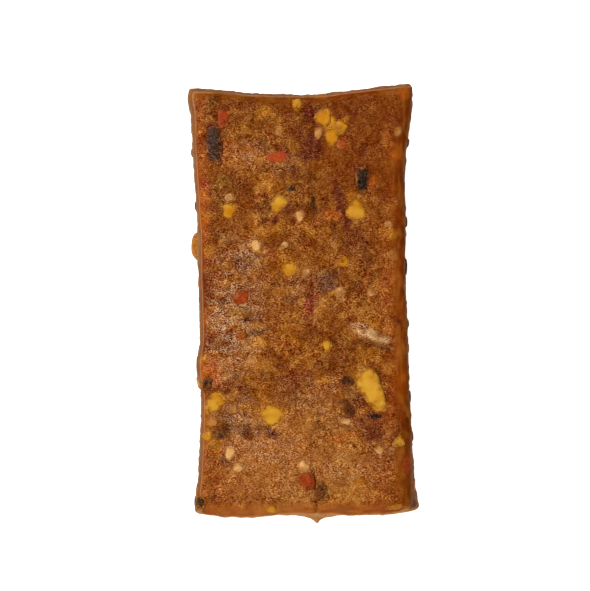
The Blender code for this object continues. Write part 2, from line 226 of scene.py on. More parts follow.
def squeezed(point):
    """Where a point of the rounded block ends up on the real outline, with its leaning, tucked-in walls."""
    across = 0.5 + 0.5 * point.x / HALF_WIDTH
    along = 0.5 + 0.5 * point.y / HALF_LENGTH
    height = point.z / THICKNESS
    tuck = TUCK * (2 * height - 1) ** 2
    left = smooth_through(LEFT_SIDE, point.y / MM) * MM + tuck
    right = smooth_through(RIGHT_SIDE, point.y / MM) * MM - tuck
    right -= RIGHT_LEAN * height * bell(point.y + HALF_LENGTH, RIGHT_LEAN_SPREAD)
    back = smooth_through(BACK_END, point.x / MM) * MM - tuck
    front = smooth_through(FRONT_END, point.x / MM) * MM + tuck
    front += FRONT_LEAN * max(0.0, height - LEAN_FROM)
    beside = abs(point.x - SEAM_X)
    tip = TIP_REACH * math.exp(-beside / TIP_HALF) + TIP_ROOT * bell(beside, TIP_ROOT_HALF)
    front -= tip * bell(point.z - TIP_HEIGHT, TIP_SPREAD)
    corner = Vector((point.x - HALF_WIDTH, point.y + HALF_LENGTH)).length
    foot = FOOT_OUT * bell(corner, FOOT_SPREAD) * (1 - height)
    stray = seam_wander(point.y) * bell(beside, SEAM_SPREAD)
    crown = CROWN * height * (1 - (2 * across - 1) ** 2)
    return Vector((
        left + (right - left) * across + foot + stray,
        front + (back - front) * along - FOOT_FORWARD * foot,
        point.z + crown,
    ))


# %% [markdown]
# ## Broad relief
# Pressed dough is never flat. Broad lumps about as wide as a thumb and dimples as wide as a pea cover it,
# the wrapper's seam left a groove along the middle, and one fold of the film left a ridge with a crease
# before it. All of it fades out at the base, which lay on a flat belt.

# %% Lumps, the seam's groove and the fold
SEAM_HALF = 0.8 * MM
SEAM_DEPTH = ((-44, 0.20), (-38, 0.36), (-32, 0.06), (-16, 0.04), (-5, 0.06), (1, 0.30), (6, 0.06),
              (15, 0.05), (20, 0.28), (25, 0.04), (34, 0.10), (44, 0.06))
FOLD_PLACE = (13.6 * MM, -6.3 * MM)
FOLD_TURN = math.radians(-24)
FOLD_HALF_LENGTH = 4.2 * MM
FOLD_HALF_WIDTH = 0.9 * MM
FOLD_HEIGHT = 0.55 * MM
FOLD_CREASE = 2.1 * FOLD_HALF_WIDTH
LUMPS = (12.0 * MM, 0.42 * MM)
DIMPLES = (4.2 * MM, 0.26 * MM)
BASE_FADE = 1.6 * MM
WALL_SHARE = 0.5


def top_marks(x, y):
    """What the wrapper pressed into the top: the groove of its seam, and the ridge and crease of a fold."""
    groove = smooth_through(SEAM_DEPTH, y / MM) * MM * bell(x - SEAM_X - seam_wander(y), SEAM_HALF)
    dx, dy = x - FOLD_PLACE[0], y - FOLD_PLACE[1]
    along = dx * math.cos(FOLD_TURN) + dy * math.sin(FOLD_TURN)
    beside = dy * math.cos(FOLD_TURN) - dx * math.sin(FOLD_TURN)
    ridge = bell(beside, FOLD_HALF_WIDTH) - bell(beside + FOLD_CREASE, FOLD_HALF_WIDTH)
    return FOLD_HEIGHT * bell(along, FOLD_HALF_LENGTH) * ridge - groove


def relief(point, outward):
    """How far the skin stands out of, or into, the squeezed block at a point."""
    unevenness = sum(depth * noise.noise(point / size) for size, depth in (LUMPS, DIMPLES))
    facing_up = max(0.0, outward.z)
    fade = min(1.0, point.z / BASE_FADE) * (WALL_SHARE + (1 - WALL_SHARE) * facing_up)
    return fade * unevenness + facing_up * top_marks(point.x, point.y)


# %% Carry the whole lattice to the bar
skin = np.empty_like(block)
facing = np.empty_like(block)
for i, (x, y, z) in enumerate(block.tolist()):
    place, outward = rounded(x, y, z)
    place = squeezed(place)
    skin[i] = place if z == 0 and place.z < 1e-6 else place + outward * relief(place, outward)
    facing[i] = outward
middle = (skin[:, :2].min(0) + skin[:, :2].max(0)) / 2
skin[:, :2] -= middle
bare_skin = BVHTree.FromPolygons(skin.tolist(), dough_faces)
print("bar, mm:", np.round((skin.max(0) - skin.min(0)) / MM, 1), "middle moved by", np.round(middle / MM, 2))

# %% [markdown]
# ## The pieces
# What makes this bar look like itself is what is set in it: yellow kernels of sweetcorn, brick-red scraps
# of pepper, dark bean and pale soya crisps. Those that show most, on the top and in the side walls, are
# listed one by one. A film of dough covers each of them more or less. The small ones in between follow the
# same seeded rule as in the measured bar, so they lie in the same spots.

# %% Pieces on the top, by kind: x, y, length, width in mm, turn in degrees, share covered by film
TOP_PIECES = {
    "corn": (
        (13.8, -17.1, 9.2, 4.4, 116, 0.12), (-6.6, -22.3, 4.5, 4.1, -40, 0.05),
        (-18.3, -19.8, 4.6, 3, 50, 0.2), (10.5, 19.4, 3.7, 3.4, 30, 0.1), (4.2, 38.3, 3.5, 3, 120, 0),
        (5.6, 34.6, 3.4, 2.4, 90, 0), (7.4, 36.3, 2.9, 2.3, 70, 0.42), (-5.3, 20.9, 3.4, 2.6, 55, 0.1),
        (-15.4, 19.4, 2.7, 2.4, 80, 0.1), (-3, 7.4, 2.6, 2.3, 88, 0.15), (7.7, 9, 2.7, 1.9, 10, 0.5),
        (-1.4, 40.9, 2.6, 1.7, 90, 0.5), (4.7, -8.2, 2, 1.4, 95, 0.1), (-19.9, -26.6, 2, 1.8, 0, 0.3),
        (-18.3, -28.5, 2.6, 2.1, 20, 0.75),
    ),
    "pepper": (
        (-16.6, 38.4, 3.5, 2.2, 80, 0.3), (-5.5, 30.5, 4.1, 2.2, 5, 0.15), (-13, 1.6, 3.4, 2.4, 15, 0.45),
        (0.5, -36, 3.4, 2.9, 100, 0.5), (21, -32.6, 4, 2, 88, 0.1),
    ),
    "bean": (
        (-18.5, 33.1, 8.3, 3.2, -84, 0.18), (11.8, 25.8, 5.6, 2.8, 88, 0),
        (-17.1, -25, 3.8, 3.2, -60, 0.65), (9, -15.8, 3.2, 2.5, 80, 0.45), (8.7, -20.7, 4, 2.5, -45, 0.6),
        (3.5, -37.8, 3.8, 2.3, -80, 0.55),
    ),
    "crisp": (
        (-9.9, 12.5, 2.6, 1.6, -85, 0), (-1, 18.3, 2, 1.6, 80, 0.15), (0.3, 6.8, 2.2, 1.6, 80, 0.5),
        (2.9, 35.3, 2.1, 1.5, 70, 0.2), (-18.7, -23.8, 2, 1.8, 0, 0.2), (-15.2, -30.1, 2.7, 1.7, 80, 0),
        (-0.1, -33, 2.6, 2.1, 60, 0.3), (15.3, -29.4, 2, 1.6, -20, 0.5), (13.8, 3.1, 2.2, 1.9, -70, 0.5),
    ),
}

# %% Crumbs on the top, listed in the same way, too small to be in the measured bar
TOP_CRUMBS = {
    "corn": (
        (-6.6, -41.7, 1.9, 1.5, 0, 0.2), (18.3, -41.2, 3.6, 1.2, 10, 0.55),
    ),
    "pepper": (
        (7.6, 33, 1.9, 1.7, 60, 0.55),
    ),
    "bean": (
        (-2.7, 23.9, 1.7, 1.2, 10, 0), (-11.8, -2.8, 1.3, 1, 40, 0), (-19.9, -16.1, 2.9, 1.9, 80, 0.35),
        (-11.4, -26.2, 2.7, 2.1, 120, 0.6), (14.4, -22.4, 2.1, 1, 5, 0), (-21.2, -40.4, 2.8, 2.2, 70, 0.4),
    ),
    "crisp": (
        (-4, 12.4, 1.5, 1.2, 30, 0.45), (19.3, 35.6, 1.7, 1.2, 60, 0), (6.1, 12.5, 1.9, 1.2, -50, 0.45),
        (17.2, 16.7, 1.7, 1.2, 20, 0.5), (-13.5, -33.2, 2.1, 1.7, 50, 0.35),
        (17.9, -29.6, 1.7, 1.2, 70, 0.65), (-14.6, -21.2, 1.9, 1.7, 0, 0.5),
        (-10.9, -11.5, 2.1, 1.7, 30, 0.5), (8.3, -23.5, 2.9, 1.2, -20, 0.4),
        (-15.4, 22.2, 1.7, 1.5, 10, 0.45),
    ),
}

# %% Pieces standing out of the side walls: kind, side, y, z, length, width in mm, turn in degrees
SIDE_PIECES = (
    ("bean", 1, 33.6, 8.6, 2, 1.5, 20), ("bean", 1, 17.4, 8.2, 2.4, 1.6, 75),
    ("bean", 1, 7.8, 8, 3.4, 1.8, 88), ("bean", 1, -3.6, 8.8, 2.2, 1.8, 50),
    ("crisp", 1, -8.8, 7, 2.4, 1.7, 70), ("bean", 1, -18.6, 7.6, 2.6, 1.7, 95),
    ("pepper", 1, -27, 6, 2.8, 1.9, 60), ("bean", -1, 31.6, 8.2, 2, 1.5, 80),
    ("bean", -1, 20.6, 8.4, 2.2, 1.6, 60), ("crisp", -1, -16, 8, 3, 2, 85),
    ("bean", -1, -40.6, 6.4, 2.8, 2.2, 80),
)
listed = (*TOP_PIECES.values(), *TOP_CRUMBS.values(), SIDE_PIECES)
print(sum(map(len, listed)), "pieces placed by hand")

# %% Small pieces by the seeded rule
SEED = 41
WALL_FLECKS = 38
TOP_FLECKS = 18
FLECK_KINDS = ("corn", "crisp", "bean", "crisp", "pepper")
FLECK_LENGTH = (1.5 * MM, 2.8 * MM)
FLECK_WIDTH = 0.75
FLECK_REACH = 0.9
CLEAR_OF_EDGE = 3.0 * MM
CLEARANCE = 0.55
SIDE_KERNEL_PLACE = (-21.3 * MM, 12.3 * MM, 6.2 * MM)
SIDE_KERNEL_REACH = (2.1 * MM, 3.2 * MM, 2.9 * MM)


def fleck_places(draw):
    """Each small piece's kind, place on the plain block, way in, length and turn, clear of the others."""
    taken = [(Vector((x * MM, y * MM, THICKNESS)), length * MM)
             for rows in TOP_PIECES.values() for x, y, length, *_ in rows]
    for _, side, y, z, length, *_ in SIDE_PIECES:
        taken.append((Vector((side * HALF_WIDTH, y * MM, z * MM)), length * MM))
    taken.append((Vector((-HALF_WIDTH, *SIDE_KERNEL_PLACE[1:])), 2 * SIDE_KERNEL_REACH[1]))
    taken.append((Vector((SEAM_X, -HALF_LENGTH, TIP_HEIGHT)), 2 * TIP_ROOT_HALF))
    for i in range(WALL_FLECKS + TOP_FLECKS):
        side = 1 if i % 2 else -1
        across = draw.uniform(-FLECK_REACH, FLECK_REACH) * HALF_WIDTH
        along = draw.uniform(-FLECK_REACH, FLECK_REACH) * HALF_LENGTH
        up = draw.uniform(CLEAR_OF_EDGE, THICKNESS - CLEAR_OF_EDGE)
        kind = draw.choice(FLECK_KINDS)
        length = draw.uniform(*FLECK_LENGTH)
        turn = draw.uniform(0, math.tau)
        if i >= WALL_FLECKS:
            place, way = Vector((across, along, THICKNESS)), Vector((0, 0, -1))
        elif i % 3:
            place, way = Vector((side * HALF_WIDTH, along, up)), Vector((-side, 0, 0))
        else:
            place, way = Vector((across, side * HALF_LENGTH, up)), Vector((0, -side, 0))
        if all((place - other).length > CLEARANCE * (length + size) for other, size in taken):
            taken.append((place, length))
            yield kind, place, way, length, turn


flecks = list(fleck_places(random.Random(SEED)))
print(len(flecks), "small pieces by rule")

# %% [markdown]
# ## How a piece is shaped and seated
# A piece starts as a blocky ball, whose upper face is nearly flat, as the wrapper pressed it. It tapers to
# one end, a kernel most, and it is uneven sideways. Just under the skin it grows hardly wider, so that no
# dark gap opens beside it. The dough's film lies deeper over its narrow end. It is dropped on to the bare
# skin and sunk until only its upper face is out, which then has the listed length and width.

# %% Seat every piece in the skin
PIECE_DEPTH = 0.62
SQUARE = 3.0
PROUD = {"corn": 0.14 * MM, "pepper": 0.10 * MM, "bean": 0.08 * MM, "crisp": 0.16 * MM}
SIDE_PROUD = 0.42 * MM
SIDE_FILM = 0.35
DOWN = Vector((0, 0, -1))


def seat(kind, start, way, length, width, turn, film, proud=None):
    """A piece's seat: where it meets the skin, its own axes as rows, and its sizes."""
    hit, outward, *_ = bare_skin.ray_cast(start, way)
    tilt = Vector((0, 0, 1)).rotation_difference(outward).to_matrix()
    along = tilt @ Vector((math.cos(turn), math.sin(turn), 0))
    return {"kind": kind, "hit": np.array(hit), "film": film, "length": length, "width": width,
            "proud": proud or PROUD[kind], "axes": np.array((along, outward.cross(along), outward))}


seats = []
for kind, rows in (*TOP_PIECES.items(), *TOP_CRUMBS.items()):
    for x, y, length, width, turn, film in rows:
        start = Vector((x * MM - middle[0], y * MM - middle[1], 2 * THICKNESS))
        seats.append(seat(kind, start, DOWN, length * MM, width * MM, math.radians(turn), film))
for kind, side, y, z, length, width, turn in SIDE_PIECES:
    start = Vector((side * 2 * HALF_WIDTH, y * MM - middle[1], z * MM))
    way = Vector((-side, 0, 0))
    seats.append(seat(kind, start, way, length * MM, width * MM, math.radians(turn), SIDE_FILM, SIDE_PROUD))
draw_film = random.Random(SEED)
WALL_FILM, TOP_FILM = (0.2, 0.7), (0.68, 0.98)
for kind, place, way, length, turn in flecks:
    start = place - way * THICKNESS - Vector((*middle, 0))
    film = draw_film.uniform(*(TOP_FILM if way.z else WALL_FILM))
    seats.append(seat(kind, start, way, length, FLECK_WIDTH * length, turn, film))
print(len(seats), "pieces seated")

# %% Shape a piece
COARSE_BALL, FINE_BALL = 3, 4
FINE_FROM = 2.5 * MM
TAPER = {"corn": 0.30, "pepper": 0.15, "bean": 0.15, "crisp": 0.15}
FILM_SLOPE = 0.22
WIDEST = 1.10
UNEVEN = {"corn": 0.20, "pepper": 0.32, "bean": 0.30, "crisp": 0.26}


def unit_ball(detail):
    """Directions and faces of an even ball."""
    ball = bmesh.new()
    bmesh.ops.create_icosphere(ball, subdivisions=detail, radius=1.0)
    points = np.array([v.co for v in ball.verts])
    faces = np.array([[v.index for v in f.verts] for f in ball.faces])
    ball.free()
    return points, faces


coarse_ball, fine_ball = unit_ball(COARSE_BALL), unit_ball(FINE_BALL)


def noise_over(points, size, seed=0.0):
    """Smooth noise from -1 to 1 at each of many points, with bumps of a given size."""
    return np.array([noise.noise(p) for p in (points / size + seed).tolist()])


def chunk(piece, seed):
    """(points, faces, share from middle to rim, share of film) of one piece, in the bar's place."""
    length, width, proud = piece["length"], piece["width"], piece["proud"]
    ball, faces = fine_ball if length > FINE_FROM else coarse_ball
    depth = PIECE_DEPTH * width + proud
    sunk = 1 - 2 * proud / depth
    shown = (1 - sunk ** SQUARE) ** (1 / SQUARE)
    square = (np.abs(ball) ** SQUARE).sum(1) ** (1 / SQUARE)
    uneven = 1 + UNEVEN[piece["kind"]] * noise_over(ball, 0.8, seed)
    points = ball / square[:, None]
    rim = (np.abs(points[:, :2]) ** SQUARE).sum(1) ** (1 / SQUARE) / shown
    points[:, :2] *= (uneven / np.maximum(1, rim / WIDEST))[:, None]
    along = points[:, 0] / shown
    points[:, 1] *= 1 + TAPER[piece["kind"]] * along
    points *= (length / shown / 2, width / shown / 2, depth / 2)
    points[:, 2] += proud - depth / 2
    return piece["hit"] + points @ piece["axes"], faces, rim, piece["film"] - FILM_SLOPE * along


print("one large piece:", len(fine_ball[1]), "faces; one small:", len(coarse_ball[1]))

# %% [markdown]
# ## Fine relief of the dough
# Between the broad lumps the top is crumbly at the size of rice and finer. The film smoothed a narrow band
# all round the top's edge, wider at the right and at the front. The cut walls carry drawn-out streaks. Round
# each piece the dough stands up in a very low lip, and under it the dough is pushed down out of sight.

# %% Where the top is wrinkled and where it is smooth
BAND_LEFT, BAND_RIGHT, BAND_FRONT, BAND_BACK = 0.7 * MM, 1.9 * MM, 1.7 * MM, 1.2 * MM
BAND_UNEVEN = (2.5 * MM, 0.4)


def smooth_step(value, low, high):
    """0 below low, 1 above high, and a smooth rise between."""
    t = np.clip((value - low) / (high - low), 0, 1)
    return t * t * (3 - 2 * t)


from_left, from_right = block[:, 0] + HALF_WIDTH, HALF_WIDTH - block[:, 0]
from_front, from_back = block[:, 1] + HALF_LENGTH, HALF_LENGTH - block[:, 1]
side_share = np.minimum(from_left / BAND_LEFT, from_right / BAND_RIGHT)
end_share = np.minimum(from_front / BAND_FRONT, from_back / BAND_BACK)
edge_share = np.minimum(side_share, end_share) + BAND_UNEVEN[1] * noise_over(skin, BAND_UNEVEN[0])
upward = smooth_step(facing[:, 2], 0.2, 0.9)
wrinkled = upward * smooth_step(edge_share, 0.4, 2.1)
on_wall = 1 - smooth_step(np.abs(facing[:, 2]), 0.3, 0.8)
above_base = smooth_step(skin[:, 2], 0.3 * MM, BASE_FADE)
print("wrinkled share of the skin:", round(float(wrinkled.mean()), 2))

# %% Where a sheen is painted on the top, which also sets a weak real gloss: x, y, length, width in mm, turn in degrees, strength
PAINTED_SHEEN_SPOTS = (
    (-14.8, -3.9, 32, 15, 84, 0.88), (-12.8, 9.9, 12, 12, 0, 0.66), (-10.8, 30.6, 9, 7, 0, 0.55),
    (-3, 28.6, 10, 6, 0, 0.4), (-13.8, -23.7, 14, 10, 90, 0.7), (3, -18.7, 14, 12, 0, 0.34),
    (8.9, -33.5, 14, 10, 0, 0.32), (-7.9, -29.6, 16, 12, 0, 0.6), (0, 2, 16, 14, 0, 0.3),
    (13.2, -5.9, 9.5, 2.4, -24, 1),
)
TORN = (2.6 * MM, 2.2 * MM)
LEAST_PAINTED_SHEEN = 0.05
PAINTED_SHEEN_STREAK = (0.45, 1, 1)


def spot(points, x, y, length, width, turn, low=0.5, high=1.4):
    """1 in the middle of an oval on the top and fading to nothing past its rim, for each point."""
    dx, dy = points[:, 0] - x * MM, points[:, 1] - y * MM
    cos, sin = math.cos(math.radians(turn)), math.sin(math.radians(turn))
    away = np.hypot((dx * cos + dy * sin) / length, (dy * cos - dx * sin) / width) * 2 / MM
    return 1 - smooth_step(away, low, high)


def stray_by(points, size, reach, seeds):
    """How far each point strays along each axis, by noise of a given size and reach."""
    return np.column_stack([noise_over(points, size, seed) for seed in seeds]) * reach


torn = skin + stray_by(skin, *TORN, (5, 7, 3))
# A painted sheen, which also sets how much weak real gloss the coat gives.
painted_sheen_and_gloss = np.full(len(skin), LEAST_PAINTED_SHEEN)
for *oval, strength in PAINTED_SHEEN_SPOTS:
    painted_sheen_and_gloss = np.maximum(painted_sheen_and_gloss, strength * spot(torn, *oval, 0.2, 1.3))
painted_sheen_and_gloss *= wrinkled * np.clip(0.8 + 1.5 * noise_over(skin * PAINTED_SHEEN_STREAK, 1.2 * MM), 0.2, 1.2)
print("mean shine:", round(float(painted_sheen_and_gloss.mean()), 2))

# %% Crumb, rice-sized lumps and drawn-out wall streaks
CRUMB = (2.9 * MM, 0.62 * MM)
GRIT = (1.3 * MM, 0.16 * MM)
STREAK = (1.6 * MM, 0.14 * MM)
STREAK_STRETCH = (0.35, 0.35, 1.6)
VALLEY = 0.16
SMOOTH_SHARE = 0.2
WALL_CRUMB = 0.6


def puffed(points, size, seed):
    """From 0 in the valleys between puffed crumbs of a given size up to about 0.7 on their tops."""
    return np.abs(noise_over(points, size, seed))


crumb_height = puffed(torn, CRUMB[0], 3.1)
crumb = CRUMB[1] * (crumb_height - 0.25) + GRIT[1] * (puffed(skin, GRIT[0], 5.7) - 0.25)
valley = 1 - smooth_step(crumb_height, 0, VALLEY)
streak = STREAK[1] * noise_over(skin * STREAK_STRETCH, STREAK[0], 8.3)
crumbly = SMOOTH_SHARE + (1 - SMOOTH_SHARE) * np.maximum(wrinkled, WALL_CRUMB * on_wall)
lift = (crumb * crumbly + on_wall * streak) * above_base
print("share of the skin in valleys:", round(float((valley > 0.5).mean()), 2))

# %% Creases: start x and y, end x and y, depth and half width in mm
CREASES = (
    (-12.8, 27.4, -1, 28.2, 0.16, 0.35), (-20.3, 0.7, -10.8, 0.9, 0.24, 0.35),
    (-10.8, 0.9, 1.2, 1.7, 0.12, 0.35), (-13, -6.5, -7.2, -4.5, 0.3, 0.35),
    (11.4, -7.1, 17.6, -9.1, 0.3, 0.4), (4.3, -27.2, 6.9, -25.6, 0.16, 0.3),
    (6.9, -25.6, 10.5, -25.4, 0.16, 0.3), (-8.5, -24.8, -5.3, -27.2, 0.16, 0.45),
    (-18.7, -39.8, 18.7, -40, 0.03, 0.4),
)
CREASE_STRAY = (3.0 * MM, 0.7 * MM)
SEAM_CUT, SEAM_CUT_HALF, SEAM_CUT_STRAY = 0.8, 0.3 * MM, 0.4


def crease_share(x0, y0, x1, y1, half_width, points):
    """1 along a line between two places of the top and fading beside it, for each of many points."""
    start, end = np.array((x0, y0)) * MM, np.array((x1, y1)) * MM
    run = end - start
    share = np.clip(((points - start) @ run) / (run @ run), 0, 1)
    away = np.hypot(*(points - start - share[:, None] * run).T)
    return np.exp(-((away / (half_width * MM)) ** 2))


stray = stray_by(skin, *CREASE_STRAY, (1.3, 6.4))
crease = np.zeros(len(skin))
for *line, depth, half_width in CREASES:
    crease = np.maximum(crease, depth * crease_share(*line, half_width, skin[:, :2] + stray))
seam_line = SEAM_X + np.array([seam_wander(y + middle[1]) for y in skin[:, 1]]) - middle[0]
seam_deep = np.array([smooth_through(SEAM_DEPTH, (y + middle[1]) / MM) for y in skin[:, 1]])
beside_seam = skin[:, 0] + SEAM_CUT_STRAY * stray[:, 0] - seam_line
seam_cut = SEAM_CUT * seam_deep * np.exp(-((beside_seam / SEAM_CUT_HALF) ** 2))
crease = np.maximum(crease, seam_cut) * upward
lift -= crease * MM
print("deepest crease, mm:", round(float(crease.max()), 2))

# %% Press the dough round every piece
LIP_HEIGHT = 0.015 * MM
LIP_PLACE = 0.3 * MM
LIP_HALF = 0.3 * MM
PUSHED_DOWN = 0.25 * MM
nearest_rim = np.full(len(skin), np.inf)
nearest_piece = np.zeros(len(skin), int)
for i, piece in enumerate(seats):
    u, v, w = ((skin - piece["hit"]) @ piece["axes"].T).T
    near = (np.abs(w) < 2 * MM) & (facing @ piece["axes"][2] > 0.3)
    v = v / np.maximum(0.5, 1 + TAPER[piece["kind"]] * 2 * u / piece["length"])
    share = np.hypot(u / piece["length"], v / piece["width"]) * 2
    rim = np.where(near, (share - 1) * (piece["length"] + piece["width"]) / 4, np.inf)
    nearest_piece[rim < nearest_rim] = i
    nearest_rim = np.minimum(nearest_rim, rim)
lip = LIP_HEIGHT * np.exp(-(((nearest_rim - LIP_PLACE) / LIP_HALF) ** 2))
down = PUSHED_DOWN * (1 - smooth_step(nearest_rim, -0.6 * MM, -0.05 * MM))
dough_points = skin + facing * (lift * smooth_step(nearest_rim, 0, 0.3 * MM) + lip - down)[:, None]
print("dough, mm:", np.round((dough_points.max(0) - dough_points.min(0)) / MM, 1))

# %% [markdown]
# ## Stains, tints and painted light and shade
# Bean skin bleeds purple, pepper bleeds red, and a kernel just under the skin shows as a yellow patch. Each
# is a soft, ragged spot of one colour. The walls are paler, the front one most. The smooth band is streaked
# with honey and rust, drawn out along the edge. A thin grey strip with a painted highlight line inside it
# runs along the left and the back edge. Painted shade darkens the valleys between crumbs and the creases,
# and a painted highlight lies on the fold's ridge. All this is worked out once for each point of the dough
# and kept as a colour attribute, whose fourth value says how strong the stain is. The material only has to
# read it.

# %% Colours, from the 0 to 255 values of a screen


def paint(red, green, blue):
    """The linear colour of a screen colour."""
    steps = (red / 255, green / 255, blue / 255)
    return [s / 12.92 if s <= 0.04045 else ((s + 0.055) / 1.055) ** 2.4 for s in steps]


MAROON = paint(88, 26, 10)
PURPLE = paint(84, 40, 24)
RUST = paint(140, 54, 10)
BROWN = paint(96, 41, 3)
RED = paint(140, 42, 20)
YELLOW = paint(172, 104, 22)
GOLD = paint(204, 138, 26)
OLIVE = paint(128, 84, 22)
ORANGE = paint(176, 86, 20)
EMBER = paint(166, 74, 12)
TAN = paint(176, 118, 64)
PALE = paint(172, 108, 48)
FOLD_HIGHLIGHT_CREAM = paint(226, 176, 120)
HONEY = paint(176, 98, 34)
DARK = paint(50, 22, 8)

# %% Stains of the top: x, y, length, width in mm, turn in degrees, colour, strength
STAINS = (
    # The broad brown stains at the back and the broad pale one at y -33.5 make the top darker towards the
    # back and paler towards the front.
    (0, 41.4, 56, 18, 0, BROWN, 0.4), (12.8, 33.5, 26, 30, 0, BROWN, 0.58),
    (12.8, 34.5, 24, 26, 0, RUST, 0.2), (18.3, 44.3, 3.4, 0.9, 5, DARK, 0.7),
    (18.3, 5.9, 60, 6, 90, RUST, 0.32), (-21.3, 7.9, 84, 4, 90, RUST, 0.4),
    (-16.6, 23.7, 11, 9, 0, BROWN, 0.45), (-14.8, 30.6, 11, 8, 0, HONEY, 0.25),
    (-1.5, 22.7, 10, 10, 0, BROWN, 0.4), (6.9, 14.3, 10, 9, 0, BROWN, 0.3),
    (6.9, -11.3, 9, 9, 0, BROWN, 0.32), (-17.3, -33.5, 14, 9, 90, BROWN, 0.25),
    (15.8, -28.6, 12, 9, 90, BROWN, 0.6), (-9, -28.5, 9, 7, 0, EMBER, 0.22), (17, 3, 22, 5, 90, HONEY, 0.2),
    (-2, -33.5, 38, 26, 0, PALE, 0.46), (0, -42.8, 48, 4.2, 0, HONEY, 0.45),
    (7.8, -41.9, 4.4, 1.2, 0, PURPLE, 0.35), (0.9, -42.7, 4, 1.4, 0, EMBER, 0.5),
    (19.2, 26.4, 3.4, 2.6, 0, MAROON, 0.35), (18.9, 4.5, 5.5, 2.6, 90, HONEY, 0.6),
    (17.4, -5.1, 3.4, 2.4, 0, HONEY, 0.45), (19.6, -9.2, 6, 2.2, 90, HONEY, 0.55),
    (20.1, -14.3, 6, 2, 90, EMBER, 0.5), (15.8, -32.5, 9, 26, 0, RUST, 0.28),
    (-4.9, -30.6, 22, 10, 0, RUST, 0.18), (-14.3, -38, 14, 8, 0, RUST, 0.25),
    (18.2, -19.7, 5, 10, 0, RUST, 0.35), (-16.3, 17.7, 10, 9, 0, BROWN, 0.22),
    (-19.2, -34.5, 5, 16, 0, RUST, 0.3), (-8.4, 39.5, 3.2, 2.5, 0, YELLOW, 0.65),
    (-16.9, 25.2, 3.2, 2.8, 0, OLIVE, 0.55), (-5.8, 15.7, 2.5, 1.8, 0, YELLOW, 0.55),
    (-19.8, 11, 2.6, 2.4, 0, YELLOW, 0.6), (-8.9, -7.7, 3.4, 3, 20, YELLOW, 0.85),
    (-11.2, -8.3, 2.4, 2.4, 0, TAN, 0.6), (-16.2, -24.3, 6.4, 5, 90, PURPLE, 0.6),
    (-11.3, -25.4, 4.8, 3.6, 0, PURPLE, 0.55), (7.6, -26.9, 5.4, 2.6, 10, ORANGE, 0.5),
    (-18, -29, 4, 2.8, 20, ORANGE, 0.65), (-15.8, -30.6, 5, 2.4, 60, PURPLE, 0.45),
    (4.5, -25.4, 7, 1.4, -30, BROWN, 0.6), (13.6, -23.9, 6, 3.6, 0, MAROON, 0.45),
    (10.1, -18.1, 6, 3.4, -60, PURPLE, 0.45), (17.9, 14.6, 3, 2.6, 0, YELLOW, 0.85),
    (17.9, 10.3, 3.2, 2.4, 0, PALE, 0.6), (14.2, -3.7, 3, 1.9, 20, YELLOW, 0.6),
    (16.6, 34.1, 4.6, 2, 100, HONEY, 0.5), (19, 31, 4.2, 2.6, 90, ORANGE, 0.65),
    (18, 4.9, 7, 4.5, 90, RUST, 0.25), (1.2, 39.4, 4.6, 3.8, 20, MAROON, 1),
    (1.2, 32.3, 6.6, 5.4, 80, MAROON, 0.95), (12.1, 32.2, 3, 1.8, 90, MAROON, 0.6),
    (10.2, 39.5, 2.8, 2.2, 0, MAROON, 0.45), (18.9, 37.7, 3.4, 1.4, 0, MAROON, 0.75),
    (10.8, 13.3, 8, 5, 90, MAROON, 0.35), (14.2, 25.4, 3.2, 2, 90, ORANGE, 0.6),
    (9.6, 22.1, 3.6, 2.4, 10, YELLOW, 0.5), (5.5, 18.6, 3.4, 3, 0, ORANGE, 0.5),
    (8.3, 37.3, 2.6, 2, 60, YELLOW, 0.55), (5.9, 36.6, 3, 2.2, 110, GOLD, 0.9),
    (7.6, 20.3, 12, 2, -78, MAROON, 0.8), (13, 10.7, 5.5, 1.8, 100, MAROON, 0.75),
    (14.1, -26.5, 5, 3.2, 10, MAROON, 0.75), (-3.3, 19.5, 3, 2.4, 90, MAROON, 0.65),
    (-5.8, 17.5, 2.2, 1.7, 20, MAROON, 0.9), (1.8, 20.9, 3.6, 1.4, 90, DARK, 0.8),
    (19.2, -3.3, 2.4, 2, 90, MAROON, 0.75), (-16.2, -32, 2.6, 2.4, 0, MAROON, 0.55),
    (-2.1, -15.3, 6.5, 3.6, 10, MAROON, 0.4), (-18.4, 42, 2.2, 2, 0, DARK, 0.6),
    (4.7, 5.1, 5, 4.8, 90, PURPLE, 0.8), (-12.3, 9.1, 6, 3.6, 0, PURPLE, 0.5), (1, 0, 7, 1.9, 90, RED, 0.7),
    (20.6, 43.6, 3.6, 2.4, 20, ORANGE, 0.8), (-20.7, 19.7, 10, 2.6, 90, ORANGE, 0.4),
    (-21, 25, 2.6, 2.2, 0, RED, 0.55), (-20.7, 3.9, 9, 2.6, 90, MAROON, 0.6),
    (-20.5, -7.4, 6.5, 2.4, 90, MAROON, 0.65), (-18.9, -13.3, 6.4, 4.6, 90, EMBER, 0.8),
    (-20.6, -11, 1.9, 1.9, 0, YELLOW, 0.7), (-6.6, -25.9, 3, 1.6, -45, MAROON, 0.85),
    (-18.6, -39.1, 2, 1.2, 0, DARK, 0.65), (-13, -1.2, 4.5, 3, 0, OLIVE, 0.4),
    # The cream stain along the fold, at x 13.4, is a painted highlight on its ridge.
    (13.4, -5.9, 8.4, 1.5, -20, FOLD_HIGHLIGHT_CREAM, 0.6), (14.6, -22.6, 3, 1.4, 5, MAROON, 1),
    (14.6, -22.4, 2, 0.8, 5, DARK, 0.45), (-20.1, -16.1, 3.4, 2.2, 80, MAROON, 0.6),
)

